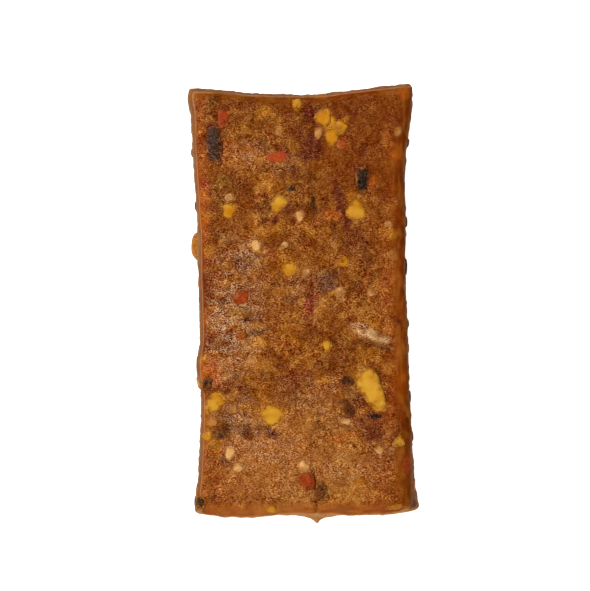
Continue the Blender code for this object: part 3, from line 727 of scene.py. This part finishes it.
# %% Lay the stains
RAGGED = (1.6 * MM, 1.0 * MM)
MOTTLE = (0.9 * MM, 0.6)
WALL_TAN, FRONT_TAN = 0.30, 0.60
VALLEY_PAINTED_SHADE = 0.35
stain = np.zeros((len(dough_points), 4))


def lay(colour, strength):
    """Lays one colour over the stains so far, by a share from 0 to 1 for each point."""
    share = np.clip(strength, 0, 1)[:, None]
    stain[:] = stain * (1 - share) + np.array((*colour, 1.0)) * share


ragged = dough_points + stray_by(dough_points, *RAGGED, (2, 4, 9))
mottle = 1 + MOTTLE[1] * noise_over(dough_points, MOTTLE[0], 7.7)
side_or_base = np.maximum(on_wall, smooth_step(-facing[:, 2], 0.0, 0.3))
front_band = side_or_base * smooth_step(-facing[:, 1], 0.4, 0.9)
lay(TAN, (WALL_TAN * side_or_base + FRONT_TAN * front_band) * mottle)
# Painted shade, in brown, in the valleys between crumbs.
lay(BROWN, VALLEY_PAINTED_SHADE * valley * wrinkled)
for *oval, colour, strength in STAINS:
    lay(colour, strength * mottle * upward * spot(ragged, *oval))

# %% Streak the smooth band, and draw the strip and a painted highlight line along two of its edges
DRAWN_SIZE, DRAWN_OUT = 0.7 * MM, 0.22
BAND_HONEY, BAND_RUST = 0.50, 0.55
LEFT_HALF_SHARE, LONG_EDGE_SHARE = 0.4, 0.8
EDGE_STRIP, EDGE_STRIP_SOFT, EDGE_HIGHLIGHT_HALF = 0.32 * MM, 0.1 * MM, 0.16 * MM
EDGE_GREY, EDGE_GREY_SHARE = paint(122, 86, 54), 0.65
EDGE_HIGHLIGHT, EDGE_HIGHLIGHT_SHARE = paint(206, 154, 108), 0.45
CORNER_SPREAD, CORNER_WIDER = 9.0 * MM, 1.2
at_end = end_share < side_share
drawn = np.where(at_end, noise_over(skin * (DRAWN_OUT, 1, 1), DRAWN_SIZE, 4.4),
                 noise_over(skin * (1, DRAWN_OUT, 1), DRAWN_SIZE, 4.4))
smooth_band = (0.3 + 0.7 * upward) * (facing[:, 2] > 0) * (1 - smooth_step(edge_share, 0.6, 1.8))
smooth_band *= np.where(from_left < from_right, LEFT_HALF_SHARE, 1) * np.where(at_end, 1, LONG_EDGE_SHARE)
lay(HONEY, BAND_HONEY * smooth_band * smooth_step(drawn, 0.0, 0.35))
lay(RUST, BAND_RUST * smooth_band * smooth_step(-drawn, 0.0, 0.35))
inset = np.minimum(from_left, from_back) + 0.12 * MM * noise_over(skin, 1.5 * MM)
corner = np.exp(-((np.hypot(from_left, from_back) / CORNER_SPREAD) ** 2))
inset -= EDGE_STRIP * (1 + CORNER_WIDER * corner)
lay(EDGE_GREY, EDGE_GREY_SHARE * (1 - smooth_step(inset, -EDGE_STRIP_SOFT, EDGE_STRIP_SOFT)))
# A painted highlight in a thin pale line just inside the grey strip.
lay(EDGE_HIGHLIGHT, EDGE_HIGHLIGHT_SHARE * np.exp(-((inset / EDGE_HIGHLIGHT_HALF) ** 2)))
print("streaked share of the skin:", round(float((smooth_band > 0.1).mean()), 2))

# %% Stain the walls, ring the bare pieces with their own colour and paint shade into the creases
WALL_STAINS = 70
WALL_STAIN_COLOURS = (MAROON, RUST, ORANGE, YELLOW, BROWN, PALE, PURPLE, OLIVE)
WALL_STAIN_REACH = (1.0 * MM, 2.6 * MM)
WALL_STAIN_SHARE = 0.6
RING_COLOURS = {"corn": paint(186, 122, 24), "pepper": paint(150, 52, 20), "bean": paint(62, 30, 16),
                "crisp": paint(186, 126, 70)}
RING_SHARE = 0.75
CREASE_PAINTED_SHADE, CREASE_SHADE_FULL = 2.2, 0.3
draw_stain = random.Random(SEED)
for _ in range(WALL_STAINS):
    at = skin[draw_stain.randrange(len(skin))]
    reach = draw_stain.uniform(*WALL_STAIN_REACH)
    colour = draw_stain.choice(WALL_STAIN_COLOURS)
    away = np.linalg.norm(ragged - at, axis=1) / reach
    lay(colour, WALL_STAIN_SHARE * mottle * (1 - upward) * (1 - smooth_step(away, 0.5, 1.4)))
kind_near = np.array([piece["kind"] for piece in seats])[nearest_piece]
bare = (1 - np.array([piece["film"] for piece in seats])[nearest_piece]) ** 2
ring = RING_SHARE * bare * (1 - smooth_step(nearest_rim, -0.1 * MM, 0.4 * MM))
for kind, colour in RING_COLOURS.items():
    lay(colour, ring * (kind_near == kind))
# Painted shade along the creases.
lay(DARK, CREASE_PAINTED_SHADE * np.clip(crease, 0, CREASE_SHADE_FULL))
stain[:, :3] /= np.maximum(stain[:, 3:], 1e-4)
print("stained share of the skin:", round(float((stain[:, 3] > 0.3).mean()), 2))

# %% Make the dough's mesh, with what its material reads
CALM_SPOT, CALM_SHARE = (13.0, 33.0, 30, 30, 0), 0.35


def new_object(name, data):
    """An object in the scene that shows the data."""
    made = bpy.data.objects.new(name, data)
    bpy.context.scene.collection.objects.link(made)
    return made


def mesh_piece(name, points, faces):
    """A smooth mesh object from points and faces, riding on the bar's body."""
    data = bpy.data.meshes.new(name)
    data.from_pydata(points.tolist(), [], faces if isinstance(faces, list) else faces.tolist())
    data.update()
    data.shade_smooth()
    made = new_object(name, data)
    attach(made, "root")
    return made


def give(piece, name, values):
    """Keeps one number, or red, green, blue and strength, for each point of a piece."""
    values = np.asarray(values, np.float32)
    kind, key = ("FLOAT_COLOR", "color") if values.ndim == 2 else ("FLOAT", "value")
    piece.data.attributes.new(name, kind, "POINT").data.foreach_set(key, values.ravel())


dough = mesh_piece("dough", dough_points, dough_faces)
give(dough, "stain", stain)
give(dough, "wrinkled", wrinkled * (1 - CALM_SHARE * spot(skin, *CALM_SPOT)))
give(dough, "wall", on_wall)
give(dough, "painted_sheen_and_gloss", painted_sheen_and_gloss)
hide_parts("bar")
print("dough:", 2 * len(dough_faces), "triangles")

# %% Make one mesh for each kind of piece
PIECE_NAMES = {"corn": "sweetcorn", "pepper": "red_pepper", "bean": "black_bean", "crisp": "soya_crisp"}
SEED_STEP = 3.7
TONE_STEP = 0.1936
pieces = {}
for kind, name in PIECE_NAMES.items():
    made, count = [], 0
    for seed, piece in enumerate(seats):
        if piece["kind"] == kind:
            points, faces, rim, film = chunk(piece, SEED_STEP * seed)
            made.append((points, faces + count, rim, film, np.full(len(points), TONE_STEP * seed % 1.0)))
            count += len(points)
    points, faces, rim, film, tone = (np.concatenate(column) for column in zip(*made))
    pieces[kind] = mesh_piece(name, points, faces)
    for value_name, values in (("film", film), ("rim", rim), ("tone", tone)):
        give(pieces[kind], value_name, values)
    print(name, len(made), "pieces,", len(faces), "triangles")

# %% [markdown]
# ## The side kernel
# One kernel bulges out of the left side below the rim, with a thick film of dough drawn over it.

# %% Model the side kernel
SIDE_SQUARE = 2.4
SIDE_UNEVEN = 0.12
SIDE_VALUES = {"film": 0.8, "rim": 0.8, "tone": 0.5}
ball, ball_faces = fine_ball
side_points = ball / ((np.abs(ball) ** SIDE_SQUARE).sum(1) ** (1 / SIDE_SQUARE))[:, None]
side_points *= 1 + SIDE_UNEVEN * noise_over(ball, 0.9, 21.0)[:, None]
side_points = side_points * np.array(SIDE_KERNEL_REACH) + np.array(SIDE_KERNEL_PLACE) - (*middle, 0)
side_kernel = mesh_piece("side_kernel", side_points, ball_faces)
for value_name, value in SIDE_VALUES.items():
    give(side_kernel, value_name, np.full(len(side_points), value))
print("side kernel reaches x =", round(float(side_points[:, 0].min()) / MM, 1), "mm")

# %% [markdown]
# ## Helpers for materials
# A material is a small chart of nodes. Each helper adds a node and wires it in one call, so that a material
# reads from top to bottom like a recipe.

# %% Node helpers
SCREEN_GAMMA = 2.2


def fill(tree, node, inputs):
    """Sets a node's inputs: each is a value, or another node's output to wire in."""
    for name, value in inputs.items():
        if isinstance(value, bpy.types.NodeSocket):
            tree.links.new(value, node.inputs[name])
        else:
            node.inputs[name].default_value = value


def add(tree, kind, inputs, output=0, **settings):
    """Adds a node and gives one of its outputs."""
    node = tree.nodes.new("ShaderNode" + kind)
    for name, value in settings.items():
        setattr(node, name, value)
    fill(tree, node, inputs)
    return node.outputs[output]


def noise_of(tree, where, size, detail=2.0, distortion=0.0, output="Fac"):
    """Noise from 0 to 1 with bumps of a given size in metres."""
    inputs = {"Vector": where, "Scale": 1 / size, "Detail": detail, "Distortion": distortion}
    return add(tree, "TexNoise", inputs, output)


def step_of(tree, value, low, high, start=0.0, end=1.0):
    """A smooth rise from start to end as a value goes from low to high."""
    inputs = {"Value": value, "From Min": low, "From Max": high, "To Min": start, "To Max": end}
    return add(tree, "MapRange", inputs, interpolation_type="SMOOTHSTEP")


def sum_of(tree, operation, *values):
    """The result of one sum on one or two values."""
    return add(tree, "Math", dict(enumerate(values)), operation=operation)


def times(tree, first, second):
    """Two values multiplied."""
    return sum_of(tree, "MULTIPLY", first, second)


def blend(tree, share, first, second, how="MIX"):
    """A colour between two, by a share from 0 to 1. A fixed colour has three numbers."""
    inputs = {0: share}
    for slot, value in ((6, first), (7, second)):
        inputs[slot] = value if isinstance(value, bpy.types.NodeSocket) else (*value, 1.0)
    return add(tree, "Mix", inputs, 2, data_type="RGBA", blend_type=how, clamp_result=True)


def shaded(tree, colour, up, rise, down, fall):
    """A colour with a painted highlight, raised by a step where up is 1, and painted shade, lowered by one
    where down is 1, on a screen's scale.
    """
    screen = add(tree, "Gamma", {"Color": colour, "Gamma": 1 / SCREEN_GAMMA})
    screen = blend(tree, up, screen, rise, "ADD")
    screen = blend(tree, down, screen, fall, "SUBTRACT")
    return add(tree, "Gamma", {"Color": screen, "Gamma": SCREEN_GAMMA})


def kept(tree, name, output="Fac"):
    """A value kept for each point of the mesh."""
    return add(tree, "Attribute", {}, output, attribute_name=name)


def new_group(name, *sockets):
    """An empty shader group whose sockets are given as name, direction and kind."""
    tree = bpy.data.node_groups.new(name, "ShaderNodeTree")
    for socket, direction, kind in sockets:
        tree.interface.new_socket(socket, in_out=direction, socket_type="NodeSocket" + kind)
    return tree, tree.nodes.new("NodeGroupInput").outputs, tree.nodes.new("NodeGroupOutput")


def wear(tree, group, **inputs):
    """Places a group in a material and gives its outputs."""
    node = tree.nodes.new("ShaderNodeGroup")
    node.node_tree = group
    fill(tree, node, inputs)
    return node.outputs


# %% [markdown]
# ## The wrinkled skin, as a shared group
# The wrapper's film crumpled the skin finely. The wrinkles are far finer than the lattice, so they are a
# height for bump. They are short strokes in two directions, which swap from patch to patch. Their light and
# shade is also painted into the colour: crests get a painted highlight and troughs painted shade, by about
# the same step of a screen's scale whatever the colour below, so the group raises and lowers the colour that
# it is given. A softer painted highlight on the crumbs and painted shade in the creases are laid under the
# strokes in the same way. Strength says how much of all this a surface wears, dough and pieces alike.

# %% Build the wrinkle group
STROKE_TURNS = (55, -38)
STROKE_STRETCH = (0.42, 1.0, 1.0)
STROKE_WIDTH = 0.15 * MM
STROKE_PATCH = 2.6 * MM
DRIFT_SIZE, DRIFT_REACH = 3.2 * MM, 2.2 * MM
COARSE_SIZE, COARSE_SHARE = 0.9 * MM, 1.8
CRUMB_SIZE, CREASE_PATCH = 1.5 * MM, 2.6 * MM
CREST_HIGHLIGHT_STEP = (0.26, 0.25, 0.21)
TROUGH_SHADE_STEP = (0.15, 0.14, 0.21)
CRUMB_HIGHLIGHT_STEP = (0.10, 0.10, 0.07)
CREASE_SHADE_STEP = (0.13, 0.13, 0.13)
wrinkles, asked, given = new_group(
    "Wrinkled skin", ("Where", "INPUT", "Vector"), ("Strength", "INPUT", "Float"),
    ("Colour", "INPUT", "Color"), ("Height", "OUTPUT", "Float"), ("Crest", "OUTPUT", "Float"),
    ("Colour", "OUTPUT", "Color"))
where, strength = asked["Where"], asked["Strength"]
drift = noise_of(wrinkles, where, DRIFT_SIZE, detail=1.0, output="Color")
drift = add(wrinkles, "VectorMath", {0: drift, 1: (0.5, 0.5, 0.5)}, operation="SUBTRACT")
drift = add(wrinkles, "VectorMath", {0: drift, "Scale": DRIFT_REACH}, operation="SCALE")
flow = add(wrinkles, "VectorMath", {0: where, 1: drift}, operation="ADD")
strokes = []
for turn in STROKE_TURNS:
    inputs = {"Vector": flow, "Rotation": (0, 0, math.radians(turn)), "Scale": STROKE_STRETCH}
    strokes.append(noise_of(wrinkles, add(wrinkles, "Mapping", inputs), STROKE_WIDTH, detail=0.0))
swap = step_of(wrinkles, noise_of(wrinkles, where, STROKE_PATCH, detail=1.0), 0.44, 0.56)
fine = blend(wrinkles, swap, *strokes)
coarse = times(wrinkles, noise_of(wrinkles, flow, COARSE_SIZE, distortion=0.5), COARSE_SHARE)
height = times(wrinkles, sum_of(wrinkles, "ADD", fine, coarse), strength)
crest = times(wrinkles, step_of(wrinkles, fine, 0.50, 0.64), strength)
trough = times(wrinkles, step_of(wrinkles, fine, 0.48, 0.34), strength)
crumbs = noise_of(wrinkles, where, CRUMB_SIZE, detail=1.0, distortion=0.4)
apart = sum_of(wrinkles, "ABSOLUTE", sum_of(wrinkles, "SUBTRACT", crumbs, 0.5))
raised = times(wrinkles, step_of(wrinkles, apart, 0.05, 0.2), strength)
creased = step_of(wrinkles, noise_of(wrinkles, where, CREASE_PATCH, detail=0.0), 0.40, 0.62)
creased = times(wrinkles, times(wrinkles, creased, step_of(wrinkles, apart, 0.05, 0.0)), strength)
# Painted highlight on the crumbs' tops and painted shade in their creases, then on the strokes' crests and
# troughs.
crumb_painted_light = shaded(wrinkles, asked["Colour"], raised, CRUMB_HIGHLIGHT_STEP, creased, CREASE_SHADE_STEP)
wrinkle_painted_light = shaded(wrinkles, crumb_painted_light, crest, CREST_HIGHLIGHT_STEP, trough, TROUGH_SHADE_STEP)
fill(wrinkles, given, {"Height": height, "Crest": crest, "Colour": wrinkle_painted_light})
print("group:", wrinkles.name, "with", len(wrinkles.nodes), "nodes")

# %% [markdown]
# ## Dough colour, as a shared group
# The dough is caramel brown in broad clouds, with paler, redder and bean-dark patches on them. The pieces
# need the same colour where the dough's film covers them, so the mottled colour is a group too.

# %% Build the dough colour group
CARAMEL = paint(145, 77, 8)
CARAMEL_DEEP = paint(109, 45, 1)
CLOUD_SIZE = 7.0 * MM
# Each patch: its colour, size, detail and distortion, and where its noise starts and is full, up to a share.
PATCHES = (
    (paint(177, 111, 39), 2.4 * MM, 1.0, 0.3, 0.46, 0.72, 0.6),
    (paint(118, 40, 4), 3.6 * MM, 1.0, 0.4, 0.50, 0.72, 0.7),
    (paint(82, 28, 5), 3.0 * MM, 2.0, 0.6, 0.56, 0.76, 0.7),
)
mottled, asked, given = new_group(
    "Mottled dough", ("Where", "INPUT", "Vector"), ("Colour", "OUTPUT", "Color"))
clouds = noise_of(mottled, asked["Where"], CLOUD_SIZE, detail=3.0)
colour = blend(mottled, step_of(mottled, clouds, 0.35, 0.65), CARAMEL_DEEP, CARAMEL)
for patch_colour, size, detail, distortion, low, high, share in PATCHES:
    patch = noise_of(mottled, asked["Where"], size, detail, distortion)
    colour = blend(mottled, step_of(mottled, patch, low, high, 0.0, share), colour, patch_colour)
fill(mottled, given, {"Colour": colour})
print("group:", mottled.name, "with", len(mottled.nodes), "nodes")

# %% [markdown]
# ## The dough's material
# Moist dough is translucent, so some light goes in and comes out a little further on, redder. In the sheen
# spots the crests of the wrinkles carry a painted cream highlight over a faint painted cream veil, and a
# thin coat of syrup gives a weak real gloss; elsewhere it hardly shines. The smooth band round the edge has
# neither crests nor troughs. The walls are rougher, and only faintly wrinkled.

# %% Dough


def new_material(name):
    """An empty node material with its Principled shader and the place on the surface."""
    material = bpy.data.materials.new(name)
    material.use_nodes = True
    tree = material.node_tree
    return material, tree, tree.nodes["Principled BSDF"], add(tree, "TexCoord", {}, "Object")


DOUGH_GLOSS = 0.02
DOUGH_BUMP = 0.12 * MM
COAT_SHARE, COAT_ROUGHNESS = 0.06, 0.24
WALL_ROUGHNESS, WALL_WRINKLES = 0.6, 0.3
PAINTED_HIGHLIGHT_CREAM = paint(224, 182, 140)
CREST_HIGHLIGHT_SHARE, SHEEN_VEIL_SHARE = 0.75, 0.04
material, tree, shader, where = new_material("moist dough")
sheen_and_gloss_now, wall_now = kept(tree, "painted_sheen_and_gloss"), kept(tree, "wall")
patches = step_of(tree, noise_of(tree, where, 3.5 * MM), 0.35, 0.65, 0.6, 1.0)
patches = times(tree, patches, step_of(tree, sheen_and_gloss_now, 0.0, 1.0, 0.78, 1.12))
on_top = times(tree, kept(tree, "wrinkled"), patches)
strength = sum_of(tree, "MAXIMUM", on_top, times(tree, wall_now, WALL_WRINKLES))
colour = wear(tree, mottled, Where=where)["Colour"]
colour = blend(tree, kept(tree, "stain", "Alpha"), colour, kept(tree, "stain", "Color"))
worn = wear(tree, wrinkles, Where=where, Strength=strength, Colour=colour)
# A painted cream highlight on the crests and a faint painted cream veil, where the sheen is painted.
crest_highlight = times(tree, worn["Crest"], times(tree, sheen_and_gloss_now, CREST_HIGHLIGHT_SHARE))
colour = blend(tree, crest_highlight, worn["Colour"], PAINTED_HIGHLIGHT_CREAM)
colour = blend(tree, times(tree, sheen_and_gloss_now, SHEEN_VEIL_SHARE), colour, PAINTED_HIGHLIGHT_CREAM)
rough = step_of(tree, noise_of(tree, where, 1.7 * MM, detail=3.0), 0.3, 0.7, 0.24, 0.42)
rough = sum_of(tree, "MAXIMUM", rough, times(tree, wall_now, WALL_ROUGHNESS))
bumpy = add(tree, "Bump", {"Height": worn["Height"], "Distance": DOUGH_BUMP})
coat = times(tree, sheen_and_gloss_now, COAT_SHARE)
fill(tree, shader, {
    "Base Color": colour, "Roughness": rough, "Specular IOR Level": DOUGH_GLOSS, "Normal": bumpy,
    "Coat Weight": coat, "Coat Roughness": COAT_ROUGHNESS, "Coat Normal": bumpy,
    "Subsurface Weight": 0.15, "Subsurface Radius": (1.0, 0.42, 0.16), "Subsurface Scale": 0.6 * MM})
dough.data.materials.append(material)
print("material:", material.name, "with", len(tree.nodes), "nodes")

# %% [markdown]
# ## Materials of the pieces
# All four kinds are made the same way: the piece's own colour in two tones, covered by the dough's film in
# smears and towards its rim, where the dough closes over it. What differs is the tones, how well the smears
# cover them, how wrinkled the skin over them is, how much painted cream highlight its crests carry, how
# rough it is and how far light goes in.

# %% The recipe for a piece
PIECE_GLOSS = 0.06
PIECE_BUMP = 0.08 * MM
TONE_SHARE, TONE_NOISE = 0.6, 1.6
RIM_COVER = 0.80
FILM_WRINKLES = 0.45
ROUGHNESS_SPREAD = 0.18


def piece_material(name, tone, other_tone, cover, wrinkle, painted_glint_share, roughness, depth):
    """The node material of one kind of piece."""
    material, tree, shader, where = new_material(name)
    spread = times(tree, noise_of(tree, where, 2.2 * MM), TONE_NOISE)
    mix = sum_of(tree, "ADD", times(tree, kept(tree, "tone"), TONE_SHARE), spread)
    own = blend(tree, step_of(tree, mix, 0.6, 1.5), tone, other_tone)
    uneven = times(tree, noise_of(tree, where, 1.1 * MM, detail=0.0), 0.7)
    at_rim = step_of(tree, sum_of(tree, "ADD", kept(tree, "rim"), uneven), 0.92, 1.45)
    smear = sum_of(tree, "ADD", noise_of(tree, where, 1.6 * MM), kept(tree, "film"))
    smear = step_of(tree, smear, 0.70, 1.25)
    covered = sum_of(tree, "MAXIMUM", times(tree, at_rim, RIM_COVER), times(tree, smear, cover))
    colour = blend(tree, covered, own, wear(tree, mottled, Where=where)["Colour"])
    film = times(tree, sum_of(tree, "MAXIMUM", at_rim, smear), FILM_WRINKLES)
    strength = sum_of(tree, "MAXIMUM", film, wrinkle)
    worn = wear(tree, wrinkles, Where=where, Strength=strength, Colour=colour)
    rough = step_of(tree, noise_of(tree, where, 1.2 * MM), 0.3, 0.7, roughness, roughness + ROUGHNESS_SPREAD)
    # A painted cream highlight on the crests.
    colour = blend(tree, times(tree, worn["Crest"], painted_glint_share), worn["Colour"], PAINTED_HIGHLIGHT_CREAM)
    bumpy = add(tree, "Bump", {"Height": worn["Height"], "Distance": PIECE_BUMP})
    fill(tree, shader, {
        "Base Color": colour, "Roughness": rough, "Specular IOR Level": PIECE_GLOSS, "Normal": bumpy,
        "Subsurface Weight": 0.25, "Subsurface Radius": (1.0, 0.5, 0.2), "Subsurface Scale": depth})
    print("material:", material.name, "with", len(tree.nodes), "nodes")
    return material


# %% Name, two tones, film's cover, wrinkles, painted cream highlight on crests, roughness and depth of light of each kind
FINISHES = {
    "corn": ("sweetcorn kernel", paint(212, 156, 50), paint(192, 122, 14), 0.78, 0.07, 0.0, 0.24, 0.8 * MM),
    "pepper": ("red pepper", paint(168, 62, 22), paint(150, 50, 16), 0.72, 0.25, 0.05, 0.28, 0.5 * MM),
    "bean": ("black bean", paint(28, 11, 5), paint(56, 26, 12), 0.62, 0.46, 0.10, 0.26, 0.3 * MM),
    "crisp": ("soya crisp", paint(226, 170, 104), paint(180, 118, 56), 0.78, 0.16, 0.0, 0.40, 0.5 * MM),
}
for kind, finish in FINISHES.items():
    pieces[kind].data.materials.append(piece_material(*finish))
side_kernel.data.materials.append(pieces["corn"].data.materials[0])

# %% [markdown]
# ## Floor, light and camera
# The bar lies on a white light table and is seen from straight above. The table is a little luminous, so
# that it stays white to the edge of the view. One large soft light from the back left gives real glints on
# the wrinkles, over the painted sheen, a weaker one in front fills in, and the white surroundings light the
# rest.

# %% Floor
FLOOR_HALF, FLOOR_LEVEL = 1.0, -0.05 * MM
FLOOR_CORNERS = ((-1, -1), (1, -1), (1, 1), (-1, 1))
table = bpy.data.meshes.new("light table")
corners = [(x * FLOOR_HALF, y * FLOOR_HALF, FLOOR_LEVEL) for x, y in FLOOR_CORNERS]
table.from_pydata(corners, [], [(0, 1, 2, 3)])
floor = new_object("light_table", table)
material, tree, shader, where = new_material("white table")
glow = step_of(tree, add(tree, "LightPath", {}, "Is Camera Ray"), 0.0, 1.0, 0.35, 1.0)
fill(tree, shader, {"Base Color": (0.93, 0.93, 0.92, 1.0), "Roughness": 0.8,
                    "Emission Color": (1.0, 1.0, 1.0, 1.0), "Emission Strength": glow})
table.materials.append(material)
floor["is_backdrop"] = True

# %% Lights
LIGHTS = (
    ("key", (-0.28, 0.26, 0.50), 0.26, 3.95),
    ("fill", (-0.05, -0.60, 0.30), 0.40, 2.4),
)
for name, place, size, power in LIGHTS:
    lamp = bpy.data.lights.new(name, "AREA")
    lamp.size, lamp.energy = size, power
    light = new_object(name, lamp)
    light.location = place
    light.rotation_euler = (-Vector(place)).to_track_quat("-Z", "Y").to_euler()
world = bpy.data.worlds.new("white room")
world.use_nodes = True
room = world.node_tree
fill(room, room.nodes["Background"], {"Color": (1.0, 0.99, 0.975, 1.0), "Strength": 0.08})
bpy.context.scene.world = world
bpy.context.scene.view_settings.view_transform = "Standard"

# %% Camera
VIEW_WIDTH = 122.4 * MM
VIEW_CENTRE = (-1.9 * MM, 2.0 * MM)
SHARP_HEIGHT = 7.0 * MM
LENS_MM = 120.0
SENSOR_MM = 36.0
eye = bpy.data.cameras.new("camera")
eye.sensor_fit = "HORIZONTAL"
eye.sensor_width, eye.lens = SENSOR_MM, LENS_MM
camera = new_object("camera", eye)
camera.location = (*VIEW_CENTRE, SHARP_HEIGHT + VIEW_WIDTH * LENS_MM / SENSOR_MM)
bpy.context.scene.camera = camera
print("camera height, m:", round(camera.location.z, 3))

# %% Keep both boxes, and finish
visual_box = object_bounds()
boxes = {"cad": measured_box, "visual": visual_box}
{name: [list(corner) for corner in box] for name, box in boxes.items()}
print("visual box, mm:", [round((b - a) / MM, 1) for a, b in zip(*visual_box)])
